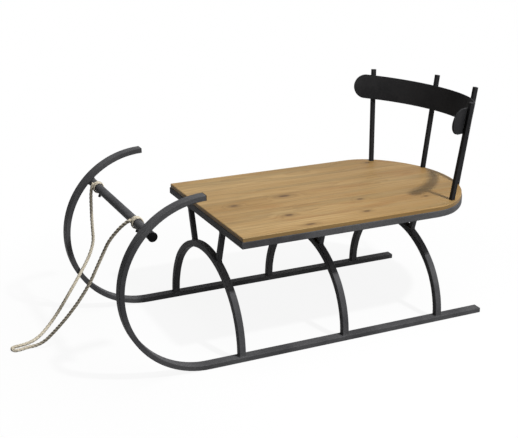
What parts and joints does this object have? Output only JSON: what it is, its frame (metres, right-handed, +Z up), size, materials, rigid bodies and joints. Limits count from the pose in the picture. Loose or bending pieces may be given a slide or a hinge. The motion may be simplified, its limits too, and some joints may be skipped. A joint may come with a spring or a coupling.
{
  "type": "pull sled bench",
  "caption": "Sled-shaped bench: curled steel runners, arches, a pine board deck, a curved back plate and a jute pull rope.",
  "frame": {"origin": "on the floor under the middle of the bench, measured without the rope", "axes": "+X forward to the curled runners and the pull rope, +Y to the left, +Z up"},
  "size_m": [1.4358, 0.5662, 0.6727],
  "materials": {
    "coated_steel": "fine textured matt powder coat, dark grey",
    "pine": "planed pine with knots, oiled, satin",
    "black_plug": "moulded black plastic, matt",
    "jute": "twisted natural jute, matt"
  },
  "bodies": {
    "root": {"runner_left": "coated_steel", "runner_plug_rear_left": "black_plug", "runner_plug_tip_left": "black_plug", "runner_right": "coated_steel", "runner_plug_rear_right": "black_plug", "runner_plug_tip_right": "black_plug", "arch_rear": "coated_steel", "strut_rear_left": "coated_steel", "strut_rear_right": "coated_steel", "arch_mid": "coated_steel", "strut_mid_left": "coated_steel", "strut_mid_right": "coated_steel", "arch_front": "coated_steel", "strut_front_left": "coated_steel", "strut_front_right": "coated_steel", "deck_rim": "coated_steel", "deck_front_bar": "coated_steel", "deck_cross_mid": "coated_steel", "deck_cross_rear": "coated_steel", "deck_board": "pine", "crossbar": "coated_steel", "crossbar_plug_left": "black_plug", "rope_stop_left": "coated_steel", "back_post_inner_left": "coated_steel", "back_post_outer_left": "coated_steel", "crossbar_plug_right": "black_plug", "rope_stop_right": "coated_steel", "back_post_inner_right": "coated_steel", "back_post_outer_right": "coated_steel", "back_plate": "coated_steel", "pull_rope": "jute", "rope_tie_right": "jute", "rope_tie_left": "jute"}
  },
  "joints": []
}
